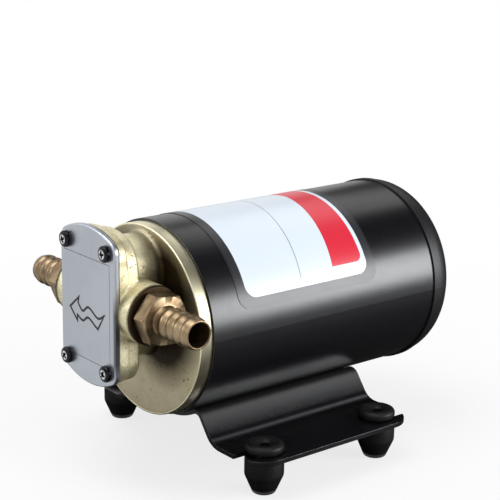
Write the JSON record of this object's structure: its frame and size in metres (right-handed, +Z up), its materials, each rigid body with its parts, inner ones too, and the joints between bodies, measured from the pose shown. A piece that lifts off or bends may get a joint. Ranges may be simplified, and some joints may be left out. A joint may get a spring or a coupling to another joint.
{
  "type": "fuel transfer pump",
  "caption": "Electric gear pump for fuel transfer: cast pump head with ribbed hose barbs and cover plate, black tube motor, bent steel bracket on rubber feet.",
  "frame": {"origin": "centre of the four screw holes of the feet, on the floor plane", "axes": "+Z up; +Y along the motor axis from the pump head to the end cap; +X towards the inlet barb"},
  "size_m": [0.128, 0.1794, 0.1121],
  "materials": {
    "plate_steel": "satin",
    "screw_steel": "polished",
    "bright_steel": "satin",
    "gasket_paper": "matte",
    "cast_brass": "satin",
    "barb_brass": "polished",
    "bronze": "satin",
    "gear_steel": "satin",
    "copper": "satin",
    "black_paint": "gloss",
    "cap_paint": "satin",
    "cast_aluminium": "satin",
    "ferrite": "matte",
    "carbon": "matte",
    "board": "matte",
    "black_rubber": "satin",
    "label_film": "gloss"
  },
  "bodies": {
    "housing": {"cover_plate": "plate_steel", "cover_gasket": "gasket_paper", "cover_screws": "screw_steel", "lock_washers": "bright_steel", "pump_body": "cast_brass", "inlet_barb": "barb_brass", "outlet_barb": "barb_brass", "idler_pin": "bright_steel", "pump_bushing": "bronze", "shaft_seal": "black_rubber", "body_o_ring": "black_rubber", "motor_tube": "black_paint", "end_cap": "cap_paint", "lead_grommet": "black_rubber", "through_bolts": "bright_steel", "through_washers": "bright_steel", "bearing_plate": "cast_aluminium", "front_bushing": "bronze", "rear_bushing": "bronze", "right_magnet": "ferrite", "left_magnet": "ferrite", "brush_plate": "board", "upper_brush_box": "barb_brass", "lower_brush_box": "barb_brass", "upper_brush_spring": "bright_steel", "lower_brush_spring": "bright_steel", "label": "label_film", "bracket": "black_paint", "bracket_screws": "bright_steel", "front_right_foot": "black_rubber", "front_left_foot": "black_rubber", "rear_right_foot": "black_rubber", "rear_left_foot": "black_rubber"},
    "rotor": {"motor_shaft": "bright_steel", "armature_core": "gear_steel", "armature_windings": "copper", "commutator": "copper", "pump_shaft": "bright_steel", "gear_key": "bright_steel", "drive_gear": "gear_steel"},
    "idler": {"driven_gear": "gear_steel"},
    "upper_carbon": {"upper_brush": "carbon"},
    "lower_carbon": {"lower_brush": "carbon"}
  },
  "joints": [
    {"name": "rotor_spin", "type": "hinge", "parent": "housing", "child": "rotor", "pos_m": [0, 0, 0.0668], "axis": [0, 1, 0], "continuous": true},
    {"name": "driven_gear_spin", "type": "hinge", "parent": "housing", "child": "idler", "pos_m": [0, -0.0744, 0.0893], "axis": [0, 1, 0], "continuous": true},
    {"name": "upper_brush_slide", "type": "slide", "parent": "housing", "child": "upper_carbon", "axis": [0, 0, 1], "range_m": [0, 0.003], "stiffness_N_per_m": 100, "springref_m": -0.006, "deforming": ["upper_brush_spring"]},
    {"name": "lower_brush_slide", "type": "slide", "parent": "housing", "child": "lower_carbon", "axis": [0, 0, -1], "range_m": [0, 0.003], "stiffness_N_per_m": 100, "springref_m": -0.006, "deforming": ["lower_brush_spring"]}
  ],
  "couplings": [
    {"joint": "driven_gear_spin", "follows": "rotor_spin", "ratio": -1}
  ]
}
